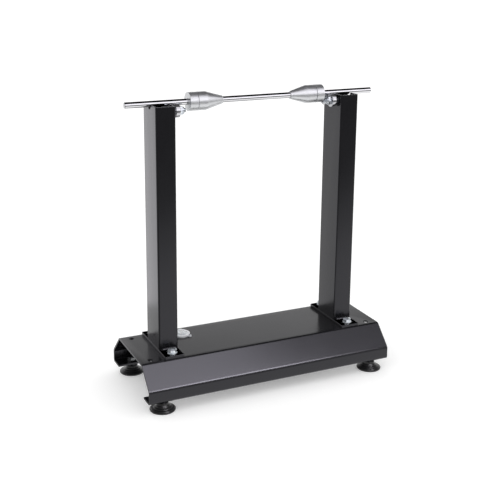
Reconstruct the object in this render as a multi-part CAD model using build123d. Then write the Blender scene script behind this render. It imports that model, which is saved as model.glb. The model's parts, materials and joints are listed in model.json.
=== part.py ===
from build123d import *
import os
from math import cos, pi, sin, sqrt

os.makedirs("parts", exist_ok=True)

# A bench stand for balancing motorcycle wheels. Two box-section posts stand on
# a folded steel channel, a steel shaft lies free on two pairs of ball bearings
# at their tops, and two cones on the shaft centre the wheel's hub.
# Millimetres, +Z up, +X along the shaft. The origin is on the floor, under the middle.

# Base channel, folded from one sheet
base_length = 440.0
base_depth = 186.0
base_height = 56.0
base_sheet = 3.0
top_width = 118.0
skirt_height = 22.0
lip_width = 28.0
top_bend_radius = 6.0
slope_bend_radius = 9.0
lip_bend_radius = 5.0
floor_gap = 18.0
fixing_hole_radius = 4.5
fixing_hole_end_distance = 18.0
fixing_hole_edge_distance = 12.0
cut_overrun = 1.0

# Posts, rectangular tube on welded foot plates
post_end_distance = 40.0
post_width = 33.0
post_depth = 59.0
post_wall = 2.5
post_corner_radius = 3.0
post_length = 400.0
notch_radius = 7.0
foot_plate_edge_gap = 1.5
foot_plate_thickness = 5.0
weld_leg = 3.5
weld_swell_share = 0.62
weld_end_gap = 2.0

# M8 fasteners, used for the foot plates and for the roller axles
bolt_radius = 4.0
bolt_hole_radius = 4.5
hex_across_flats = 13.0
bolt_head_height = 5.3
lock_nut_height = 8.0
plain_nut_height = 6.5
washer_radius = 8.0
washer_thickness = 1.6
thread_clearance = 0.05
plate_bolt_length = 20.0
plate_bolt_end_distance = 11.5

# Ball bearings used as rollers, 8 x 22 x 7
bearing_bore_radius = 4.0
bearing_outer_radius = 11.0
bearing_width = 7.0
inner_ring_radius = 5.5
outer_ring_bore_radius = 9.5
ball_radius = 1.95
balls_per_bearing = 7
ball_cube_share = 0.85
ball_chamfer_share = 0.6
roller_half_spacing = 11.5
roller_axis_drop = 10.0
roller_spacer_length = 4.0
roller_spacer_radius = 6.0
axle_bolt_length = 25.0

# Shaft and wheel cones
shaft_radius = 5.0
shaft_overhang = 41.0
shaft_chamfer = 1.0
shaft_roller_gap = 0.03
shaft_bore_clearance = 0.05
cone_radius = 15.0
cone_tip_radius = 6.4
cone_taper_length = 29.5
cone_straight_length = 16.0
lock_ring_length = 13.5
left_cone_rear_gap = 8.5
right_cone_rear_gap = 0.5
lock_screw_radius = 2.5
lock_screw_length = 8.0
lock_screw_clearance = 0.05
lock_screw_seat_gap = 0.1

# Levelling feet
foot_end_distance = 27.5
foot_edge_distance = 16.0
foot_disc_radius = 21.0
foot_disc_thickness = 3.6
foot_neck_radius = 9.5
foot_height = 14.0
foot_socket_depth = 9.5
foot_socket_clearance = 0.05
foot_stud_end_gap = 0.3
foot_stud_length = 23.0
lip_hole_radius = 4.6

# Round bubble level, let into the top of the base
level_post_distance = 27.5
level_edge_distance = 27.5
level_flange_radius = 16.0
level_flange_height = 2.8
level_cup_radius = 13.0
level_cup_depth = 6.0
level_cup_wall = 1.5
level_cup_floor = 1.2
level_hole_clearance = 0.3
level_lug_distance = 17.7
level_lug_radius = 3.2
level_lug_height = 1.8
level_lug_count = 3
first_lug_angle = -50.0
level_lens_thickness = 2.0
level_lens_rise = 0.7
level_bubble_radius = 3.2
level_bubble_height = 1.2
level_fluid_gap = 0.05

# Heights and places that follow from the sizes above
base_bottom_z = floor_gap
plate_top_z = base_bottom_z + base_height
plate_under_z = plate_top_z - base_sheet
lip_top_z = base_bottom_z + base_sheet
foot_plate_top_z = plate_top_z + foot_plate_thickness
post_top_z = foot_plate_top_z + post_length
roller_z = post_top_z - roller_axis_drop
contact_distance = bearing_outer_radius + shaft_radius + shaft_roller_gap
shaft_z = roller_z + sqrt(contact_distance**2 - roller_half_spacing**2)
post_outer_x = base_length / 2 - post_end_distance
post_inner_x = post_outer_x - post_width
post_centre_x = (post_inner_x + post_outer_x) / 2
hex_radius = hex_across_flats / sqrt(3)
foot_plate_length = top_width - 2 * foot_plate_edge_gap
plate_bolt_y = foot_plate_length / 2 - plate_bolt_end_distance
fixing_hole_x = base_length / 2 - fixing_hole_end_distance
fixing_hole_y = top_width / 2 - fixing_hole_edge_distance
foot_x = base_length / 2 - foot_end_distance
foot_y = base_depth / 2 - foot_edge_distance
level_x = -(post_inner_x - level_post_distance)
level_y = top_width / 2 - level_edge_distance

# Axle stack, measured from the middle of the stand outwards along X
spacer_inner_x = post_inner_x - roller_spacer_length
bearing_inner_x = spacer_inner_x - bearing_width
axle_nut_x = bearing_inner_x - lock_nut_height
axle_head_x = post_inner_x + post_wall
axle_bolt_end_x = axle_head_x - axle_bolt_length

sides = (-1, 1)
corners = [(sx, sy) for sx in sides for sy in sides]
corner_names = {(-1, -1): "front_left", (-1, 1): "back_left", (1, -1): "front_right", (1, 1): "back_right"}
side_names = {-1: "left", 1: "right"}


def save(node, solids):
    """Writes one node as a STEP file, as one solid or as a group of separate ones."""
    shape = solids[0] if len(solids) == 1 else Compound(children=solids)
    export_step(shape, os.path.join("parts", node + ".step"))


def rod(radius, start, end):
    """A round bar along Z from start to end."""
    return Pos(0, 0, (start + end) / 2) * Cylinder(radius, end - start)


def sleeve(outer, inner, start, end):
    """A tube along Z from start to end."""
    return rod(outer, start, end) - rod(inner, start - cut_overrun, end + cut_overrun)


def hex_bar(start, end):
    """A hexagonal bar along Z, one corner pointing along X."""
    return Pos(0, 0, start) * extrude(RegularPolygon(hex_radius, 6), end - start)


def turned(points):
    """A solid turned about Z from a closed outline of (radius, height) points."""
    return revolve(Plane.XZ * make_face(Polyline(*points, close=True)), Axis.Z)


def along_x(side, y, z):
    """Frame of a part on an axle: local Z runs outwards along X on that side."""
    return Plane(origin=(0, y, z), x_dir=(0, 1, 0), z_dir=(side, 0, 0)).location


def base_channel():
    half_depth = base_depth / 2
    half_top = top_width / 2
    skirt_top = base_bottom_z + skirt_height
    right_side = [
        (half_top, plate_top_z),
        (half_depth, skirt_top),
        (half_depth, base_bottom_z),
        (half_depth - lip_width, base_bottom_z),
    ]
    left_side = [(-y, z) for y, z in reversed(right_side)]
    bends = [lip_bend_radius, slope_bend_radius, top_bend_radius]
    skin = FilletPolyline(*left_side, *right_side, radius=bends + bends[::-1])
    section = make_face(skin.offset_2d(base_sheet, side=Side.RIGHT))
    channel = Plane.YZ * extrude(section, base_length / 2, both=True)
    drill_bottom = base_bottom_z - cut_overrun
    drill_top = plate_top_z + cut_overrun
    cuts = []
    for sx, sy in corners:
        cuts.append(Pos(sx * fixing_hole_x, sy * fixing_hole_y) * rod(fixing_hole_radius, lip_top_z, drill_top))
        cuts.append(Pos(sx * post_centre_x, sy * plate_bolt_y) * rod(bolt_hole_radius, lip_top_z, drill_top))
        cuts.append(Pos(sx * foot_x, sy * foot_y) * rod(lip_hole_radius, drill_bottom, lip_top_z + cut_overrun))
    cuts.append(level_place() * rod(level_cup_radius + level_hole_clearance, lip_top_z, drill_top))
    return channel - cuts


def post(side):
    outer = RectangleRounded(post_width, post_depth, post_corner_radius)
    inner = Rectangle(post_width - 2 * post_wall, post_depth - 2 * post_wall)
    tube = Pos(side * post_centre_x, 0, foot_plate_top_z) * extrude(outer - inner, post_length)
    notch = rod(notch_radius, post_inner_x - cut_overrun, post_outer_x + cut_overrun)
    tube -= along_x(side, 0, post_top_z) * notch
    for y in (-roller_half_spacing, roller_half_spacing):
        wall = (post_inner_x - cut_overrun, post_inner_x + post_wall + cut_overrun)
        tube -= along_x(side, y, roller_z) * rod(bolt_radius + thread_clearance, *wall)
    return tube


def foot_plate(side):
    outline = Rectangle(post_width, foot_plate_length)
    plate = Pos(side * post_centre_x, 0, plate_top_z) * extrude(outline, foot_plate_thickness)
    for y in (-plate_bolt_y, plate_bolt_y):
        hole = rod(bolt_hole_radius, plate_top_z - cut_overrun, foot_plate_top_z + cut_overrun)
        plate -= Pos(side * post_centre_x, y) * hole
    return plate


def weld_bead(side, face):
    """A fillet weld along the front or the back of a post's foot, slightly convex."""
    seam_y = face * post_depth / 2
    toe = (seam_y + face * weld_leg, foot_plate_top_z)
    root = (seam_y, foot_plate_top_z)
    top = (seam_y, foot_plate_top_z + weld_leg)
    swell = weld_leg * weld_swell_share
    crown = (seam_y + face * swell, foot_plate_top_z + swell)
    section = make_face(Polyline(top, root, toe) + ThreePointArc(toe, crown, top))
    length = post_width - 2 * (post_corner_radius + weld_end_gap)
    return Pos(side * post_centre_x) * (Plane.YZ * extrude(section, length / 2, both=True))


def plate_bolt():
    head_under = foot_plate_top_z + washer_thickness
    head = hex_bar(head_under, head_under + bolt_head_height)
    return head + rod(bolt_radius, head_under - plate_bolt_length, head_under)


def nut(start, height):
    """A hexagon nut along Z from start."""
    bore = rod(bolt_radius + thread_clearance, start - cut_overrun, start + height + cut_overrun)
    return hex_bar(start, start + height) - bore


def at_plate_bolts(solid):
    return [Pos(sx * post_centre_x, sy * plate_bolt_y) * solid for sx, sy in corners]


def at_axles(solid):
    return [along_x(sx, sy * roller_half_spacing, roller_z) * solid for sx, sy in corners]


def axle_bolt():
    """Head inside the post, shank through its wall towards the wheel."""
    head = hex_bar(axle_head_x, axle_head_x + bolt_head_height)
    return head + rod(bolt_radius, axle_bolt_end_x, axle_head_x)


def inner_ring():
    return sleeve(inner_ring_radius, bearing_bore_radius + thread_clearance, bearing_inner_x, spacer_inner_x)


def roller_ring():
    """The outer ring of a bearing, on which the shaft rolls."""
    return sleeve(bearing_outer_radius, outer_ring_bore_radius, bearing_inner_x, spacer_inner_x)


def ball_set():
    """The balls of one bearing, evenly spaced between its rings and cut with flats to stay light."""
    pitch_radius = (inner_ring_radius + outer_ring_bore_radius) / 2
    middle = (bearing_inner_x + spacer_inner_x) / 2
    step = 2 * pi / balls_per_bearing
    places = [(pitch_radius * cos(i * step), pitch_radius * sin(i * step)) for i in range(balls_per_bearing)]
    half = ball_radius * ball_cube_share
    ball = chamfer(Box(2 * half, 2 * half, 2 * half).edges(), half * ball_chamfer_share)
    return [Pos(x, y, middle) * ball for x, y in places]


def shaft():
    half = post_outer_x + shaft_overhang
    edge = shaft_radius - shaft_chamfer
    bar = turned(
        [
            (0, -half),
            (edge, -half),
            (shaft_radius, -half + shaft_chamfer),
            (shaft_radius, half - shaft_chamfer),
            (edge, half),
            (0, half),
        ]
    )
    return along_x(1, 0, shaft_z) * bar


# Cones are drawn along Z with the tip at zero and the rear towards +Z
cone_rear = cone_taper_length + cone_straight_length
ring_rear = cone_rear + lock_ring_length
cone_bore_radius = shaft_radius + shaft_bore_clearance


def cone_body():
    return turned(
        [
            (cone_bore_radius, 0),
            (cone_tip_radius, 0),
            (cone_radius, cone_taper_length),
            (cone_radius, cone_rear),
            (cone_bore_radius, cone_rear),
        ]
    )


def lock_ring():
    ring = sleeve(cone_radius, cone_bore_radius, cone_rear, ring_rear)
    hole = rod(lock_screw_radius + lock_screw_clearance, 0, cone_radius + cut_overrun)
    return ring - lock_screw_place() * hole


def lock_screw():
    start = shaft_radius + lock_screw_seat_gap
    return lock_screw_place() * rod(lock_screw_radius, start, start + lock_screw_length)


def lock_screw_place():
    """Halfway along the lock ring, local Z running outwards."""
    return Pos(0, 0, (cone_rear + ring_rear) / 2) * Rot(0, 90, 0)


def on_shaft(side, rear_gap, solid):
    """Sets a cone part on the shaft, its rear near the axle bolts and its screw towards the back."""
    tip = axle_bolt_end_x - rear_gap - ring_rear
    return along_x(side, 0, shaft_z) * (Pos(0, 0, tip) * solid)


def foot_pad():
    """A moulded foot: a flat disc, and a neck with the stud's socket."""
    socket = bolt_radius + foot_socket_clearance
    return turned(
        [
            (0, 0),
            (foot_disc_radius, 0),
            (foot_disc_radius, foot_disc_thickness),
            (foot_neck_radius, foot_disc_thickness),
            (foot_neck_radius, foot_height),
            (socket, foot_height),
            (socket, foot_height - foot_socket_depth),
            (0, foot_height - foot_socket_depth),
        ]
    )


def foot_stud():
    start = foot_height - foot_socket_depth + foot_stud_end_gap
    return rod(bolt_radius, start, start + foot_stud_length)


def at_foot(corner, solid):
    sx, sy = corner
    return Pos(sx * foot_x, sy * foot_y) * solid


def level_place():
    return Pos(level_x, level_y)


def level_body():
    rim = plate_top_z + level_flange_height
    bottom = plate_top_z - level_cup_depth
    cup_inside = level_cup_radius - level_cup_wall
    body = turned(
        [
            (0, bottom),
            (level_cup_radius, bottom),
            (level_cup_radius, plate_top_z),
            (level_flange_radius, plate_top_z),
            (level_flange_radius, rim),
            (cup_inside, rim),
            (cup_inside, bottom + level_cup_floor),
            (0, bottom + level_cup_floor),
        ]
    )
    lug = Pos(level_lug_distance, 0) * rod(level_lug_radius, plate_top_z, plate_top_z + level_lug_height)
    for i in range(level_lug_count):
        body += Rot(0, 0, first_lug_angle + 360 * i / level_lug_count) * lug
    return level_place() * body


def level_lens():
    """A clear cover, seated in the rim and standing a little above it."""
    radius = level_cup_radius - level_cup_wall - level_fluid_gap
    rim = plate_top_z + level_flange_height
    return level_place() * rod(radius, rim - level_lens_thickness, rim + level_lens_rise)


def level_fluid():
    """The liquid under the lens, with a hollow where the bubble floats."""
    radius = level_cup_radius - level_cup_wall - level_fluid_gap
    low = plate_top_z - level_cup_depth + level_cup_floor + level_fluid_gap
    high = plate_top_z + level_flange_height - level_lens_thickness - level_fluid_gap
    bubble = rod(level_bubble_radius, high - level_bubble_height, high + cut_overrun)
    return level_place() * (rod(radius, low, high) - bubble)


save("base_channel", [base_channel()])
for side in sides:
    save(side_names[side] + "_post", [post(side)])
    save(side_names[side] + "_foot_plate", [foot_plate(side)])
save("weld_beads", [weld_bead(side, face) for side in sides for face in sides])

save("plate_bolts", at_plate_bolts(plate_bolt()))
washer_bore = bolt_radius + thread_clearance
washer = sleeve(washer_radius, washer_bore, foot_plate_top_z, foot_plate_top_z + washer_thickness)
save("plate_washers", at_plate_bolts(washer))
save("plate_nuts", at_plate_bolts(nut(plate_under_z - lock_nut_height, lock_nut_height)))

save("axle_bolts", at_axles(axle_bolt()))
save("axle_spacers", at_axles(sleeve(roller_spacer_radius, washer_bore, spacer_inner_x, post_inner_x)))
save("axle_nuts", at_axles(nut(axle_nut_x, lock_nut_height)))
save("bearing_inner_rings", at_axles(inner_ring()))
save("bearing_balls", [ball for one in ball_set() for ball in at_axles(one)])
for sx, sy in corners:
    place = along_x(sx, sy * roller_half_spacing, roller_z)
    save(corner_names[(sx, sy)] + "_roller_ring", [place * roller_ring()])

save("shaft", [shaft()])
for side, rear_gap in ((-1, left_cone_rear_gap), (1, right_cone_rear_gap)):
    save(side_names[side] + "_cone", [on_shaft(side, rear_gap, cone_body())])
    save(side_names[side] + "_lock_ring", [on_shaft(side, rear_gap, lock_ring())])
    save(side_names[side] + "_lock_screw", [on_shaft(side, rear_gap, lock_screw())])

save("foot_nuts", [at_foot(corner, nut(lip_top_z, plain_nut_height)) for corner in corners])
for corner in corners:
    save(corner_names[corner] + "_foot_pad", [at_foot(corner, foot_pad())])
    save(corner_names[corner] + "_foot_stud", [at_foot(corner, foot_stud())])

save("level_body", [level_body()])
save("level_lens", [level_lens()])
save("level_fluid", [level_fluid()])
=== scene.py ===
import json

import bmesh
import bpy
import numpy as np
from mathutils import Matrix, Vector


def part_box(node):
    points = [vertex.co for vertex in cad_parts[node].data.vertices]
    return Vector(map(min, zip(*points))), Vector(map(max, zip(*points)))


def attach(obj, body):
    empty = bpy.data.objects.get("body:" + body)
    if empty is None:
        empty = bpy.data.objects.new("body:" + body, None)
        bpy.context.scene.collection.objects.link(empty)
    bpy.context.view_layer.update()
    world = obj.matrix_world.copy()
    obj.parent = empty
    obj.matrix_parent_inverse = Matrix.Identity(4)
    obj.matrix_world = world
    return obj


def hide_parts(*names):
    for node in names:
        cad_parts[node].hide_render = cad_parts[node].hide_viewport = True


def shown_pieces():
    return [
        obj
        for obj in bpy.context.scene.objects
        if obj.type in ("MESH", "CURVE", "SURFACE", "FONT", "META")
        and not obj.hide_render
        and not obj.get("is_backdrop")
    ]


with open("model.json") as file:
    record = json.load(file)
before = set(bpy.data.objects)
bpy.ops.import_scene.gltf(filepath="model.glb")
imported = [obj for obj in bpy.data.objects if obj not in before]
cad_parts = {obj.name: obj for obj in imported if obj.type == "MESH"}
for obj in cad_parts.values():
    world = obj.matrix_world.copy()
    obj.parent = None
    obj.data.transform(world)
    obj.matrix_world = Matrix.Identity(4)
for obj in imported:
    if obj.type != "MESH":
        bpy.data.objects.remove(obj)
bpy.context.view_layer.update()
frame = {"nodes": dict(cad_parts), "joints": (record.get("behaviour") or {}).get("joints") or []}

# The camera stands left of the stand and above it, and looks at it through a long lens. A small shift
# keeps the posts nearly upright in the picture.
picture_width, focal_pixels, sensor_width = 500, 961.18, 36
camera = bpy.data.objects.new("camera", bpy.data.cameras.new("camera"))
camera.data.sensor_width = sensor_width
camera.data.lens = focal_pixels / picture_width * sensor_width
camera.data.shift_y = -0.12
camera.data.clip_end = 60
camera.location = (-0.66734, -1.40187, 0.72489)
camera.rotation_euler = (1.31827, -0.00959, -0.43856)
bpy.context.scene.collection.objects.link(camera)
bpy.context.scene.camera = camera
bpy.context.scene.view_settings.view_transform = "Standard"


# The studio: a white dome lights the pale floor and all that is matt. Gloss mirrors a room of its own: a
# pale wall, a dim ceiling, a white floor that ends in front, and soft panels. The black pieces have the
# strong panels, the bright metal has weaker ones, and the chromed shaft has one with a lower top edge.
class Signal:
    """A shader value that is reckoned with like a number: each sign adds one Math node."""

    def __init__(self, finish, socket):
        self.finish, self.socket = finish, socket

    def math(self, operation, *values):
        return self.finish.node("Math", {"operation": operation}, dict(enumerate(values)))

    def __add__(self, other):
        return self.math("ADD", self, other)

    def __sub__(self, other):
        return self.math("SUBTRACT", self, other)

    def __rsub__(self, other):
        return self.math("SUBTRACT", other, self)

    def __mul__(self, other):
        return self.math("MULTIPLY", self, other)

    __radd__, __rmul__ = __add__, __mul__

    def span(self, low, high):
        """0 below low, 1 above high, and a soft step between."""
        return self.finish.node("MapRange", {"interpolation_type": "SMOOTHSTEP"},
                                {"Value": self, "From Min": low, "From Max": high})


class Finish:
    """A material, or the world, in the making. What is the same all over is set on the shader's own
    sockets, and node() adds a node for what changes over the surface."""

    def __init__(self, owner, shader, **constants):
        owner.use_nodes = True
        self.owner, self.tree = owner, owner.node_tree
        self.shader = self.tree.nodes[shader]
        self.show(**constants)

    def feed(self, node, values):
        for key, value in values.items():
            if isinstance(value, Signal):
                self.tree.links.new(value.socket, node.inputs[key])
            else:
                node.inputs[key].default_value = value

    def node(self, kind, settings, values, output=0):
        made = self.tree.nodes.new("ShaderNode" + kind)
        for key, value in settings.items():
            setattr(made, key, value)
        self.feed(made, values)
        return Signal(self, made.outputs[output])

    def show(self, **values):
        self.feed(self.shader, {name.replace("_", " "): value for name, value in values.items()})
        return self.owner

    def place(self, stretch=(1, 1, 1)):
        """Object coordinates, stretched along the axes."""
        where = self.node("TexCoord", {}, {}, "Object")
        return self.node("Mapping", {}, {"Vector": where, "Scale": stretch})

    def noise(self, size, detail=2.0, stretch=(1, 1, 1)):
        """Soft noise from 0 to 1 whose patches are about that size in metres."""
        values = {"Vector": self.place(stretch), "Scale": 1 / size, "Detail": detail}
        return self.node("TexNoise", {}, values, "Fac")

    def blend(self, share, first, second):
        """The first colour where share is 0, the second where it is 1."""
        colours = {6: (*first, 1), 7: (*second, 1)}
        return self.node("Mix", {"data_type": "RGBA"}, {"Factor": share, **colours}, 2)

    def relief(self, height, depth):
        """A bump of that depth in metres where height goes from 0 to 1."""
        return self.node("Bump", {}, {"Height": height, "Distance": depth, "Strength": 1.0})


def paint(name, **constants):
    return Finish(bpy.data.materials.new(name), "Principled BSDF", **constants)


# For gloss, the wall ends 21 to 31 degrees up, and it is brighter behind the stand than in front.
world = bpy.data.worlds.new("studio")
bpy.context.scene.world = world
room = Finish(world, "Background", Color=(1, 1, 1, 1))
through = room.node("LightPath", {}, {}, "Is Transmission Ray")
mirrored = room.node("LightPath", {}, {}, "Is Glossy Ray") * (1 - through)
towards = room.node("TexCoord", {}, {}, "Generated")
ceiling = room.node("SeparateXYZ", {}, {"Vector": towards}, "Z").span(0.36, 0.52)
behind = room.node("SeparateXYZ", {}, {"Vector": towards}, "Y").span(-0.2, 0.2)
wall_in_front, wall_behind = 0.5, 1.05
wall = (wall_in_front + (wall_behind - wall_in_front) * behind) * (1 - ceiling)
room.show(Strength=mirrored * wall + (1 - mirrored))

# Gloss sees the floor white behind its front edge, with the stand's shadow painted on it: dark left of the
# stand, and a little darker behind it.
floor_reach = 14.0
floor_corners = [(x * floor_reach, y * floor_reach, 0) for x, y in ((-1, -1), (1, -1), (1, 1), (-1, 1))]
floor_mesh = bpy.data.meshes.new("floor")
floor_mesh.from_pydata(floor_corners, [], [(0, 1, 2, 3)])
floor = bpy.data.objects.new("floor", floor_mesh)
bpy.context.scene.collection.objects.link(floor)
full_glow, glow_for_the_eye = 2.5, 0.27
sweep = paint("sweep_paper", Roughness=0.9, Specular_IOR_Level=0.0, Emission_Strength=full_glow)
mirrored = sweep.node("LightPath", {}, {}, "Is Glossy Ray")
to_right = sweep.node("SeparateXYZ", {}, {"Vector": sweep.place()}, "X")
to_back = sweep.node("SeparateXYZ", {}, {"Vector": sweep.place()}, "Y")
white = to_back.span(-1.4, -0.4)
# Painted shadow of the stand on the floor that gloss sees: dark left of the stand, and lighter behind it.
left_painted_shadow = (1 - to_right.span(-0.24, -0.2)) * (1 - to_back.span(0.05, 0.2))
back_painted_shade = to_back.span(0.1, 0.25)
glow_for_gloss = 0.1 + white * (1.0 - 0.8 * left_painted_shadow - 0.22 * back_painted_shade)
glow = mirrored * glow_for_gloss + glow_for_the_eye * (1 - mirrored)
floor_mesh.materials.append(sweep.show(
    Base_Color=sweep.blend(mirrored, (0.88, 0.88, 0.88), (0, 0, 0)),
    Emission_Color=sweep.blend(1 / full_glow * glow, (0, 0, 0), (1, 1, 1))))
floor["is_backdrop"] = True


def soft_panel(name, width, height, place, aim, radiance, pieces):
    """A soft box, sized and placed in metres, that only the gloss of those pieces sees. Its power is
    radiance times pi times its area."""
    lamp = bpy.data.lights.new(name, "AREA")
    lamp.shape, lamp.size, lamp.size_y = "RECTANGLE", width, height
    lamp.energy = radiance * np.pi * width * height
    lamp.color = (0.97, 0.95, 1.0)
    holder = bpy.data.objects.new(name, lamp)
    holder.location = place
    holder.rotation_euler = (Vector(aim) - Vector(place)).to_track_quat("-Z", "Y").to_euler()
    holder.visible_camera = holder.visible_diffuse = False
    holder.light_linking.receiver_collection = pieces
    bpy.context.scene.collection.objects.link(holder)


black_pieces, bright_pieces, mirror_pieces = (bpy.data.collections.new(name + "_pieces")
                                              for name in ("black", "bright", "mirror"))
soft_panel("top_panel", 1.0, 0.8, (0.14, -0.75, 1.4), (0.04, 0, 0.1), 3.0, black_pieces)
soft_panel("wide_panel", 2.2, 0.9, (0.4, -0.95, 1.6), (0, 0, 0.1), 1.0, black_pieces)
soft_panel("front_panel", 0.74, 0.5, (0.58, -1.38, 1.2), (0, 0, 0.1), 14.0, black_pieces)
soft_panel("left_panel", 0.24, 0.42, (-0.31, 0.3, 0.245), (-0.18, 0, 0.34), 0.76, black_pieces)
soft_panel("ceiling_panel", 4.0, 4.0, (0, 0.9, 3.0), (0, 0.7, 0), 0.12, black_pieces)
soft_panel("metal_ceiling_panel", 4.0, 4.0, (0, 0.9, 3.0), (0, 0.7, 0), 0.09, bright_pieces)
soft_panel("metal_panel", 2.6, 1.26, (0.5, -0.92, 1.142), (0.5, -0.046, 0.319), 1.25, bright_pieces)
soft_panel("mirror_panel", 2.6, 1.01, (0.5, -1.005, 1.051), (0.5, -0.131, 0.228), 1.2, mirror_pieces)


# The base is one sheet of 3 mm steel, folded four times to a flat top, two slopes, two skirts and two
# lips underneath, drilled, and powder coated satin black with a fine orange peel.
mm = 0.001


def worked_copy(name, node, edge):
    """A copy of a solid's mesh with its double points merged, so that folds shade as one curve, its flat
    faces joined, and its sharp edges eased by a narrow bevel of width edge."""
    mesh = frame["nodes"][node].data.copy()
    mesh.name = name
    mesh.materials.clear()
    work = bmesh.new()
    work.from_mesh(mesh)
    bmesh.ops.remove_doubles(work, verts=work.verts, dist=0.002 * mm)
    bmesh.ops.dissolve_limit(work, verts=work.verts, edges=work.edges, angle_limit=np.radians(0.4))
    work.to_mesh(mesh)
    work.free()
    for attribute in [a for a in mesh.attributes if a.name == "custom_normal"]:
        mesh.attributes.remove(attribute)
    mesh.shade_smooth()
    mesh.set_sharp_from_angle(angle=np.radians(35))
    made = bpy.data.objects.new(name, mesh)
    bpy.context.scene.collection.objects.link(made)
    ease = made.modifiers.new("ease", "BEVEL")
    ease.width, ease.segments, ease.limit_method = edge, 2, "ANGLE"
    ease.angle_limit, ease.harden_normals, ease.use_clamp_overlap = np.radians(40), True, True
    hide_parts(node)
    return made


coat = paint("black_powder_coat", Specular_IOR_Level=0.5, Specular_Tint=(0.93, 0.92, 1.0, 1))
peel, grain, cloud = coat.noise(1.1 * mm, 1.0), coat.noise(0.35 * mm), coat.noise(60 * mm, 3.0)
black_powder = coat.show(Base_Color=coat.blend(cloud, (0.0045, 0.0045, 0.0052), (0.007, 0.007, 0.008)),
                         Roughness=0.18 + 0.06 * cloud + 0.04 * grain,
                         Normal=coat.relief(0.7 * peel + 0.3 * grain, 0.012 * mm))
channel = worked_copy("folded_channel", "base_channel", edge=0.15 * mm)
channel.data.materials.append(black_powder)
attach(channel, "stand")


# Four levelling feet stand under the lips: a moulded black pad with stepped rings, a zinc-plated M8 stud
# standing in it, and a nut on top of the lip. From here on, pieces are drawn in mm.
corners = ("front_left", "back_left", "front_right", "back_right")
joints = {joint["name"]: joint for joint in frame["joints"]}
screw_hole, across_flats, thread_sides = 4.05, 13.0, 36
stud_radius, stud_low, stud_high = 4.0, 4.8, 27.8
lip_top, lip_nut_top = 21.0, 27.5


def eased(outline, radius):
    """Rounds the inner corners of an outline: corner P becomes the curve (1-t)^2 A + 2t(1-t) P + t^2 B,
    where A and B lie on its two sides, the radius away or nearly half the side."""
    points = np.array(outline, float)
    corner = points[1:-1]
    back, on = points[:-2] - corner, points[2:] - corner
    back_length, on_length = (np.linalg.norm(v, axis=1, keepdims=True) for v in (back, on))
    reach = np.minimum(radius, 0.45 * np.minimum(back_length, on_length))
    a, b = (corner + reach * v / length for v, length in ((back, back_length), (on, on_length)))
    a, b, corner = (v[:, None] for v in (a, b, corner))
    t = np.linspace(0, 1, 4)[None, :, None]
    curves = (1 - t) ** 2 * a + 2 * t * (1 - t) * corner + t**2 * b
    return np.concatenate([points[:1], curves.reshape(-1, 2), points[-1:]])


def turned(outline, around):
    """Carries an outline of (radius, height) points once round Z: a point at angle a is
    (radius cos a, radius sin a, height)."""
    angle = np.linspace(0, 2 * np.pi, around, endpoint=False)
    radius, height = np.array(outline, float).T
    return np.stack([np.outer(radius, np.cos(angle)), np.outer(radius, np.sin(angle)),
                     np.outer(height, np.ones(around))], -1)


def piece(name, sheets, material, body, nodes, crease=35):
    """Makes one mesh of grids of points in mm. Point (i, j) joins (i+1, j) along the outline and (i, j+1)
    round it, where the last meets the first. Points that fall together are merged, and that closes poles."""
    points, faces, first = [], [], 0
    for sheet in sheets:
        rings, around = sheet.shape[:2]
        index = first + np.arange(rings * around).reshape(rings, around)
        beside = np.roll(index, -1, 1)
        faces.append(np.stack([index[:-1], beside[:-1], beside[1:], index[1:]], -1).reshape(-1, 4))
        points.append(sheet.reshape(-1, 3) * mm)
        first += rings * around
    mesh = bpy.data.meshes.new(name)
    mesh.from_pydata(np.concatenate(points), [], np.concatenate(faces))
    work = bmesh.new()
    work.from_mesh(mesh)
    bmesh.ops.remove_doubles(work, verts=work.verts, dist=0.001 * mm)
    bmesh.ops.recalc_face_normals(work, faces=work.faces)
    work.to_mesh(mesh)
    work.free()
    mesh.shade_smooth()
    mesh.set_sharp_from_angle(angle=np.radians(crease))
    mesh.materials.append(material)
    made = bpy.data.objects.new(name, mesh)
    bpy.context.scene.collection.objects.link(made)
    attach(made, body)
    if nodes:
        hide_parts(*nodes)


def threaded(radius, low, high, pitch=1.25, chamfer=0.9):
    """A screw thread: at angle a and height h the radius is its outer radius less the thread's depth
    times |2 frac(h / pitch - a / 360) - 1|, and it runs down to a 45 degree chamfer at both ends."""
    depth, rings_a_turn = 0.61 * pitch, 8
    height = np.linspace(low, high, int((high - low) / pitch * rings_a_turn) + 2)[:, None]
    angle = np.linspace(0, 2 * np.pi, thread_sides, endpoint=False)[None]
    flank = np.abs(2 * np.mod(height / pitch - angle / (2 * np.pi), 1) - 1)
    bar = radius - depth * flank
    bar = np.minimum(bar, radius - chamfer + np.minimum(height - low, high - height))
    grid = np.stack([bar * np.cos(angle), bar * np.sin(angle), height + 0 * angle], -1)
    ends = [np.zeros((1, thread_sides, 3)) + (0, 0, end) for end in (low, high)]
    return np.concatenate([ends[0], grid, ends[1]])


def hexagonal(low, high, bore=0.0, turn=0.0):
    """A nut, or a screw's head where there is no bore: at angle a the side is at half the flats / cos(a
    mod 60 - 30), and a cone of 30 degrees through a circle just inside the flats trims its corners,
    which leaves the arcs there. A nut has the cone on both faces, a head on top only."""
    angle = np.linspace(0, 2 * np.pi, 72, endpoint=False)
    side = across_flats / 2 / np.cos(np.mod(angle, np.pi / 3) - np.pi / 6)
    circle = 0.475 * across_flats
    trim = (side - circle) * np.tan(np.pi / 6)
    once = np.ones(len(angle))
    foot = [(circle * once, low * once), (side, low + trim)] if bore else [(side, low * once)]
    rings = [(bore * once, low * once), *foot, (side, high - trim), (circle * once, high * once),
             (bore * once, high * once)]
    if bore:
        rings.append(rings[0])
    radius, height = (np.stack([ring[k] for ring in rings]) for k in (0, 1))
    return np.stack([radius * np.cos(angle + turn), radius * np.sin(angle + turn), height], -1)


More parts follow.
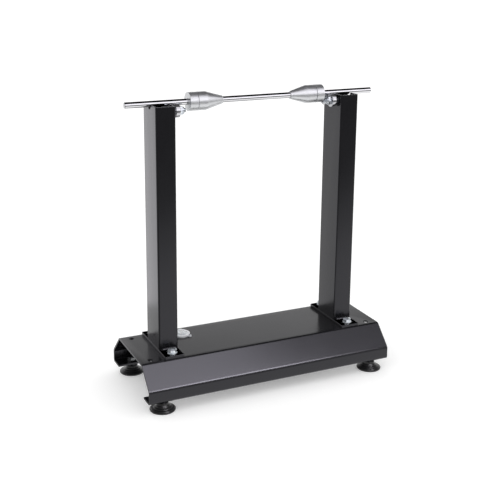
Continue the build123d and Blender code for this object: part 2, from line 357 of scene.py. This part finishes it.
def plated(name, first, second, gloss, metallic=1.0):
    """Zinc plating: metal with cloudy changes of tint and gloss, and fine scratches."""
    metal = paint(name, Metallic=metallic)
    cloud, scratch = metal.noise(2.5 * mm, 3.0), metal.noise(0.25 * mm, 2.0, (1, 1, 6))
    return metal.show(Base_Color=metal.blend(cloud.span(0.3, 0.7), first, second),
                      Roughness=gloss + 0.08 * cloud, Normal=metal.relief(scratch, 0.004 * mm))


zinc_tints = (0.4, 0.44, 0.5), (0.84, 0.87, 0.89)
zinc = plated("bright_zinc", *zinc_tints, gloss=0.05)
pale_zinc = plated("pale_zinc", *zinc_tints, gloss=0.05, metallic=0.7)
# The lip nuts sit inside the channel. Their zinc is painted darker and duller than the rest, as painted
# shade.
shade_darkened_zinc = plated("shade_darkened_zinc", (0.12, 0.125, 0.13), (0.24, 0.245, 0.25), gloss=0.31)

moulding = paint("black_moulding", Specular_IOR_Level=0.5)
skin, rub = moulding.noise(0.5 * mm), moulding.noise(9 * mm, 3.0)
black_moulding = moulding.show(Base_Color=moulding.blend(rub, (0.006, 0.006, 0.006), (0.013, 0.013, 0.014)),
                               Roughness=0.26 + 0.16 * rub, Normal=moulding.relief(skin, 0.008 * mm))

pad_outline = eased([(0, 0.6), (15, 0.6), (16, 0), (20.4, 0), (21, 0.6), (21, 2.5), (19.2, 3.1), (18.7, 4.1),
                     (15.6, 4.9), (15.1, 6.0), (12.4, 7.3), (11.9, 8.6), (10.1, 10.4), (9.5, 13.5),
                     (9.0, 14.0), (screw_hole, 14.0), (screw_hole, 4.5), (0, 4.5)], 0.35)
foot_nuts = []
for corner in corners:
    foot_x, foot_y = (v / mm for v in joints[corner + "_foot_turn"]["pos_m"][:2])
    under = np.array([foot_x, foot_y, 0])
    piece(corner + "_moulded_pad", [turned(pad_outline, 96) + under], black_moulding, corner + "_foot_pad",
          [corner + "_foot_pad"])
    piece(corner + "_threaded_stud", [threaded(stud_radius, stud_low, stud_high) + under], zinc,
          corner + "_foot_stud", [corner + "_foot_stud"])
    foot_nuts.append(hexagonal(lip_top, lip_nut_top, screw_hole) + under)
piece("lip_nuts", foot_nuts, shade_darkened_zinc, "stand", ["foot_nuts"])


# Each post is a cut length of 33 by 59 mm box tube, notched at the top for the shaft. It is welded
# upright on a flat bar, and both are coated as the base is.
def slab(half_x, half_y, corner, low, high, ease):
    """A flat bar: a rounded rectangle, drawn as four corner centres plus (radius - inset) times a unit
    circle, carried up the outline of its eased edge."""
    edge = eased([(corner, low), (0, low), (0, high), (corner, high)], ease)[1:-1]
    points_a_corner = 8
    quarter, step = np.divmod(np.arange(4 * points_a_corner), points_a_corner)
    angle = quarter * np.pi / 2 + step / (points_a_corner - 1) * np.pi / 2
    unit = np.stack([np.cos(angle), np.sin(angle)], -1)
    diagonal = (quarter + 0.5) * np.pi / 2
    signs = np.sign(np.stack([np.cos(diagonal), np.sin(diagonal)], -1))
    centre = signs * (half_x - corner, half_y - corner)
    rings = centre[None] + (corner - edge[:, :1])[:, None] * unit[None]
    grid = np.concatenate([rings, np.broadcast_to(edge[:, 1][:, None, None], rings.shape[:2] + (1,))], -1)
    ends = [grid[k:k + 1] * (0, 0, 1) for k in (0, -1)]
    return np.concatenate([ends[0], grid, ends[1]])


def bead(from_x, to_x, seam_y, face, seam_z, size):
    """A run of weld: a round section along X, laid into the corner of post and plate, whose radius
    swells with each ripple and falls away at both ends."""
    ripple_length, outwards = 1.7, 0.35 * size
    along = np.linspace(from_x, to_x, 96)[:, None]
    angle = np.linspace(0, 2 * np.pi, 24, endpoint=False)[None]
    share = (along - from_x) / (to_x - from_x) * 2 - 1
    ripple = np.abs(np.sin(np.pi * (along / ripple_length + 0.3 * np.cos(angle))))
    radius = size * (0.94 + 0.06 * ripple) * np.sqrt(1 - np.abs(share) ** 10)
    return np.stack([along + 0 * angle, seam_y + face * (outwards + radius * np.cos(angle)),
                     seam_z + outwards + radius * np.sin(angle)], -1)


plate_low, plate_high = (corner.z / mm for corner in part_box("left_foot_plate"))
plate_corner, plate_ease = 1.2, 0.6
weld_inset, weld_size = 3.2, 2.5
beads = []
for side in ("left", "right"):
    tube = worked_copy(side + "_box_tube", side + "_post", edge=0.35 * mm)
    tube.data.materials.append(black_powder)
    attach(tube, "stand")
    low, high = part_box(side + "_foot_plate")
    middle = (low + high) / 2 / mm
    half = (high - low) / 2 / mm
    bar = slab(half.x, half.y, plate_corner, plate_low, plate_high, plate_ease) + (middle.x, middle.y, 0)
    piece(side + "_flat_bar", [bar], black_powder, "stand", [side + "_foot_plate"])
    low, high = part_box(side + "_post")
    for face in (-1, 1):
        beads.append(bead(low.x / mm + weld_inset, high.x / mm - weld_inset, face * high.y / mm, face,
                          plate_high, weld_size))
piece("weld_runs", beads, black_powder, "stand", ["weld_beads"], crease=60)


# M8 screws hold each foot plate at its front and back: a hexagon head on a plain washer above, and a
# lock nut with a nylon collar under the sheet. The steel is zinc plated.
nylon = paint("white_nylon")
white_nylon = nylon.show(Base_Color=nylon.blend(nylon.noise(2 * mm), (0.62, 0.63, 0.65), (0.72, 0.73, 0.75)),
                         Roughness=0.35 + 0.1 * nylon.noise(1 * mm))


def hexagon_screw(under_head, length, turn=0.0):
    """An M8 screw, head up, as the head and the thread under it. The head is turned about Z by turn."""
    head_height, radius, end_play = 5.3, 3.95, 0.1
    return [hexagonal(under_head, under_head + head_height, turn=turn),
            threaded(radius, under_head - length, under_head - end_play)]


def lock_nut(low, high):
    """A lock nut with its seat on top, as steel and nylon sheets: a hexagon 6 mm high, under it a rounded
    collar, and the nylon ring in the collar's mouth."""
    shoulder = high - 6.0
    collar = turned(eased([(4.6, shoulder), (6.0, shoulder), (5.9, low), (5.0, low), (4.9, low + 1),
                           (4.6, low + 1), (4.6, shoulder)], 0.4), 48)
    ring = turned(eased([(4.1, shoulder), (4.9, shoulder), (4.9, low + 0.5), (4.1, low + 0.5),
                         (4.1, shoulder)], 0.15), 48)
    return [hexagonal(shoulder, high, screw_hole), collar], [ring]


def plain_ring(bore, outer, start, stop, ease, around):
    """A ring turned from a rectangle between two heights, which is drawn from the middle of its bore."""
    middle = (start + stop) / 2
    return turned(eased([(bore, middle), (bore, start), (outer, start), (outer, stop), (bore, stop),
                         (bore, middle)], ease), around)


post_x, screw_y = 163.5, 46.0
washer_height, plate_screw_length = 1.6, 20
washer_top = plate_high + washer_height
plain_washer = plain_ring(4.2, 8.0, plate_high, washer_top, 0.25, 64)
steel, plastic = lock_nut(*(corner.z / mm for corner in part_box("plate_nuts")))
screws, washers, nuts, rings = [], [], [], []
for x, head_turns in ((-post_x, (-10, 40)), (post_x, (-5, 15))):
    for y, turn in zip((-screw_y, screw_y), np.radians(head_turns)):
        at = np.array([x, y, 0])
        screws += [sheet + at for sheet in hexagon_screw(washer_top, plate_screw_length, turn)]
        washers.append(plain_washer + at)
        nuts += [sheet + at for sheet in steel]
        rings += [sheet + at for sheet in plastic]
piece("plate_screws", screws, pale_zinc, "stand", ["plate_bolts"])
piece("plain_washers", washers, pale_zinc, "stand", ["plate_washers"])
piece("plate_lock_nuts", nuts, zinc, "stand", ["plate_nuts"])
piece("plate_nut_collars", rings, white_nylon, "stand", [])


# The bubble level is a moulded silver-white cup with three lugs, let into the sheet and held by a small
# screw in each lug. A clear domed lens closes it over the liquid, with one ring printed under the lens
# round the bubble, which is a hollow in the liquid.
shell = paint("silver_moulding")
fleck = shell.noise(1.5 * mm, 3.0)
silver_moulding = shell.show(
    Base_Color=shell.blend(fleck.span(0.35, 0.65), (0.72, 0.74, 0.78), (0.95, 0.96, 0.98)),
    Roughness=0.3 + 0.15 * fleck, Metallic=0.2 * fleck.span(0.4, 0.6),
    Normal=shell.relief(fleck, 0.02 * mm))
cup = worked_copy("level_cup", "level_body", edge=0.35 * mm)
cup.data.materials.append(silver_moulding)
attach(cup, "stand")

low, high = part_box("level_lens")
level = np.array([(low.x + high.x) / 2 / mm, (low.y + high.y) / 2 / mm, 0])
lens_low, lens_high, lens_radius = low.z / mm, high.z / mm, (high.x - low.x) / 2 / mm - 0.05
clear = paint("clear_lens", Transmission_Weight=1.0, IOR=1.49)
clear_lens = clear.show(Base_Color=clear.blend(clear.noise(3 * mm), (0.95, 0.97, 0.97), (1, 1, 1)),
                        Roughness=0.02 + 0.03 * clear.noise(1.5 * mm))
dome_rise = 0.6
out_from_middle = 1 - np.linspace(0, 1, 9)
lens_outline = np.concatenate([
    [(0, lens_low), (lens_radius, lens_low), (lens_radius, lens_high - dome_rise)],
    np.stack([lens_radius * out_from_middle * 0.99, lens_high - dome_rise * out_from_middle**2], -1)])
piece("domed_lens", [turned(eased(lens_outline, 0.1), 64) + level], clear_lens, "stand", ["level_lens"])

tinted = paint("level_liquid", IOR=1.33, Specular_IOR_Level=0.4)
level_liquid = tinted.show(
    Base_Color=tinted.blend(tinted.noise(1.8 * mm).span(0.3, 0.7), (0.74, 0.77, 0.8), (0.93, 0.95, 0.96)),
    Roughness=0.12 + 0.1 * tinted.noise(4 * mm))
# The liquid wets the lens, because an air gap would mirror the light back.
liquid_low, liquid_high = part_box("level_fluid")[0].z / mm, lens_low + 0.02
liquid = eased([(0, liquid_low), (lens_radius, liquid_low), (lens_radius, liquid_high), (3.4, liquid_high),
                (3.0, liquid_high - 0.7), (0, liquid_high - 1.1)], 0.3)
piece("level_liquid", [turned(liquid, 64) + level], level_liquid, "stand", ["level_fluid"])
ink = paint("ring_ink")
ring_ink = ink.show(Base_Color=ink.blend(ink.noise(1 * mm), (0.2, 0.2, 0.21), (0.28, 0.28, 0.29)),
                    Roughness=0.4 + 0.1 * ink.noise(1 * mm))
ring_low, ring_high = liquid_high - 0.04, liquid_high + 0.04
ring_mark = [(4.5, ring_low), (4.9, ring_low), (4.9, ring_high), (4.5, ring_high), (4.5, ring_low)]
piece("printed_ring", [turned(ring_mark, 64) + level], ring_ink, "stand", [])

lug_distance = 17.7
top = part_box("base_channel")[1].z / mm + 1.8
lug_screw = turned(eased([(0, top - 0.6), (1.9, top - 0.6), (1.9, top + 0.3), (1.1, top + 0.9),
                          (0.5, top + 0.95), (0.4, top + 0.2), (0, top + 0.2)], 0.2), 36)
lug_screws = [lug_screw + (level + lug_distance * np.array([np.cos(turn), np.sin(turn), 0]))
              for turn in np.radians([-50, 70, 190])]
piece("level_screws", lug_screws, zinc, "stand", [])


# At the top of each post two M8 axle screws carry a ball bearing each, with a short spacer behind it
# and a lock nut in front. The shields turn with the outer rings, on which the shaft lies.
def lying(sheet, sign, y, z):
    """Turns a sheet drawn along Z so that it points outwards along X on that side."""
    return sheet @ np.array([[0, 1, 0], [0, 0, sign], [sign, 0, 0]], float) + (0, y, z)


race = paint("ground_steel", Metallic=1.0)
grinding = race.noise(0.3 * mm, 2.0, (8, 1, 1))
ground_steel = race.show(Base_Color=race.blend(grinding, (0.5, 0.5, 0.52), (0.72, 0.72, 0.74)),
                         Roughness=0.12 + 0.14 * grinding, Normal=race.relief(grinding, 0.002 * mm))

post_face, post_wall, axle_screw_length = 147.0, 2.5, 25
spacer_height, bearing_height, lock_nut_height = 4.0, 7.0, 8.0
bearing_out = post_face - spacer_height
bearing_in = bearing_out - bearing_height
shield_inset = 0.3


def shield(face, step):
    """A pressed cover close behind a bearing's face, with one raised ring."""
    raised = face + 0.35 * step
    return turned(eased([(5.6, face + step), (5.6, face), (6.4, face), (6.7, raised), (8.3, raised),
                         (8.7, face), (9.6, face), (9.6, face + step), (5.6, face + step)], 0.15), 72)


roller = [plain_ring(9.5, 11, bearing_out, bearing_in, 0.45, 96), shield(bearing_in + shield_inset, 0.4),
          shield(bearing_out - shield_inset, -0.4)]
axle_screw = hexagon_screw(post_face + post_wall, axle_screw_length)
steel, plastic = lock_nut(bearing_in - lock_nut_height, bearing_in)
inner_ring = plain_ring(screw_hole, 5.5, bearing_out, bearing_in, 0.3, 64)
spacer = plain_ring(screw_hole, 6, post_face, bearing_out, 0.25, 64)
axle_screws, spacers, axle_nuts, collars, inner_rings = [], [], [], [], []
for corner in corners:
    sign = -1 if corner.endswith("left") else 1
    y, z = (v / mm for v in joints[corner + "_roller_spin"]["pos_m"][1:])
    piece(corner + "_bearing_ring", [lying(sheet, sign, y, z) for sheet in roller], ground_steel,
          corner + "_roller", [corner + "_roller_ring"])
    axle_screws += [lying(sheet, sign, y, z) for sheet in axle_screw]
    axle_nuts += [lying(sheet, sign, y, z) for sheet in steel]
    collars += [lying(sheet, sign, y, z) for sheet in plastic]
    inner_rings.append(lying(inner_ring, sign, y, z))
    spacers.append(lying(spacer, sign, y, z))
piece("axle_screws", axle_screws, zinc, "stand", ["axle_bolts"])
piece("axle_lock_nuts", axle_nuts, zinc, "stand", ["axle_nuts"])
piece("axle_nut_collars", collars, white_nylon, "stand", [])
piece("bearing_inner_races", inner_rings, ground_steel, "stand", ["bearing_inner_rings", "bearing_balls"])
piece("turned_spacers", spacers, zinc, "stand", ["axle_spacers"])


# The shaft is a ground and chromed 10 mm bar with chamfered ends, long enough to lie across both pairs
# of bearings and stand out a good way past each post.
chrome = paint("chrome_plate", Metallic=1.0)
polish = chrome.noise(0.4 * mm, 2.0, (0.15, 1, 1))
haze = chrome.noise(14 * mm)
chrome_plate = chrome.show(Base_Color=chrome.blend(haze, (0.7, 0.7, 0.72), (0.78, 0.78, 0.8)),
                           Roughness=0.05 + 0.05 * haze, Normal=chrome.relief(polish, 0.0012 * mm))
shaft_z = joints["shaft_spin"]["pos_m"][2] / mm
half_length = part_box("shaft")[1].x / mm
shaft_outline = eased([(0, -half_length), (3.9, -half_length), (5, 1 - half_length), (5, half_length - 1),
                       (3.9, half_length), (0, half_length)], 0.3)
piece("chromed_shaft", [lying(turned(shaft_outline, 96), 1, 0, shaft_z)], chrome_plate, "shaft", ["shaft"])


# Two turned aluminium cones slide on the shaft and centre the hub between them. Each has a lock ring
# behind it, and a black socket screw in the ring's back clamps it.
turned_metal = paint("turned_aluminium", Metallic=1.0)
cut = turned_metal.noise(0.35 * mm, 2.0, (1, 0.02, 0.02))
feed = turned_metal.noise(2.2 * mm, 1.0, (1, 0.02, 0.02))
stain = turned_metal.noise(7 * mm, 3.0)
turned_aluminium = turned_metal.show(
    Base_Color=turned_metal.blend(0.5 * cut + 0.5 * stain, (0.66, 0.67, 0.69), (0.84, 0.85, 0.86)),
    Roughness=0.3 + 0.14 * cut + 0.06 * stain,
    Normal=turned_metal.relief(0.6 * cut + 0.4 * feed, 0.012 * mm))
oxide = paint("black_oxide", Metallic=0.5)
bloom = oxide.noise(0.6 * mm)
black_oxide = oxide.show(Base_Color=oxide.blend(bloom, (0.015, 0.015, 0.016), (0.03, 0.03, 0.033)),
                         Roughness=0.35 + 0.15 * bloom)

shaft_bore, rim, cone_length = 5.05, 15, 45.5
cone_outline = eased([(shaft_bore, 20), (shaft_bore, 0), (6.4, 0), (rim, 29.5), (rim, cone_length - 1.2),
                      (rim - 1.2, cone_length), (shaft_bore, cone_length), (shaft_bore, 20)], 0.3)


def socket_screw(low, high):
    """A headless screw: a thread with a hexagon socket let into its outer end, whose side at angle a is
    at half its flats / cos(a mod 60 - 30)."""
    half_flats, floor_of_socket = 1.25, high - 2.2
    bar = threaded(2.5, low, high, pitch=0.8, chamfer=0.5)[:-1]
    angle = np.linspace(0, 2 * np.pi, thread_sides, endpoint=False)
    side = half_flats / np.cos(np.mod(angle, np.pi / 3) - np.pi / 6)
    mouth = [np.stack([side * np.cos(angle), side * np.sin(angle), 0 * angle + height], -1)[None]
             for height in (high, floor_of_socket)]
    return np.concatenate([bar, *mouth, np.zeros((1, thread_sides, 3)) + (0, 0, floor_of_socket)])


for side, sign in (("left", -1), ("right", 1)):
    low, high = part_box(side + "_cone")
    tip = min(abs(low.x), abs(high.x)) / mm
    cone = turned(cone_outline, 128) + (0, 0, tip)
    piece(side + "_turned_cone", [lying(cone, sign, 0, shaft_z)], turned_aluminium, side + "_cone",
          [side + "_cone"])
    ring = worked_copy(side + "_turned_ring", side + "_lock_ring", edge=1.2 * mm)
    ring.data.materials.append(turned_aluminium)
    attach(ring, side + "_cone")
    low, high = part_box(side + "_lock_screw")
    screw = socket_screw(low.y / mm, high.y / mm)[..., [1, 2, 0]] + ((low.x + high.x) / 2 / mm, 0, shaft_z)
    piece(side + "_socket_screw", [screw], black_oxide, side + "_lock_screw", [side + "_lock_screw"])

# Each piece joins the panels that its gloss sees.
panels_of = {black_powder: black_pieces, black_moulding: black_pieces, chrome_plate: mirror_pieces}
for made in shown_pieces():
    panels_of.get(made.data.materials[0], bright_pieces).objects.link(made)
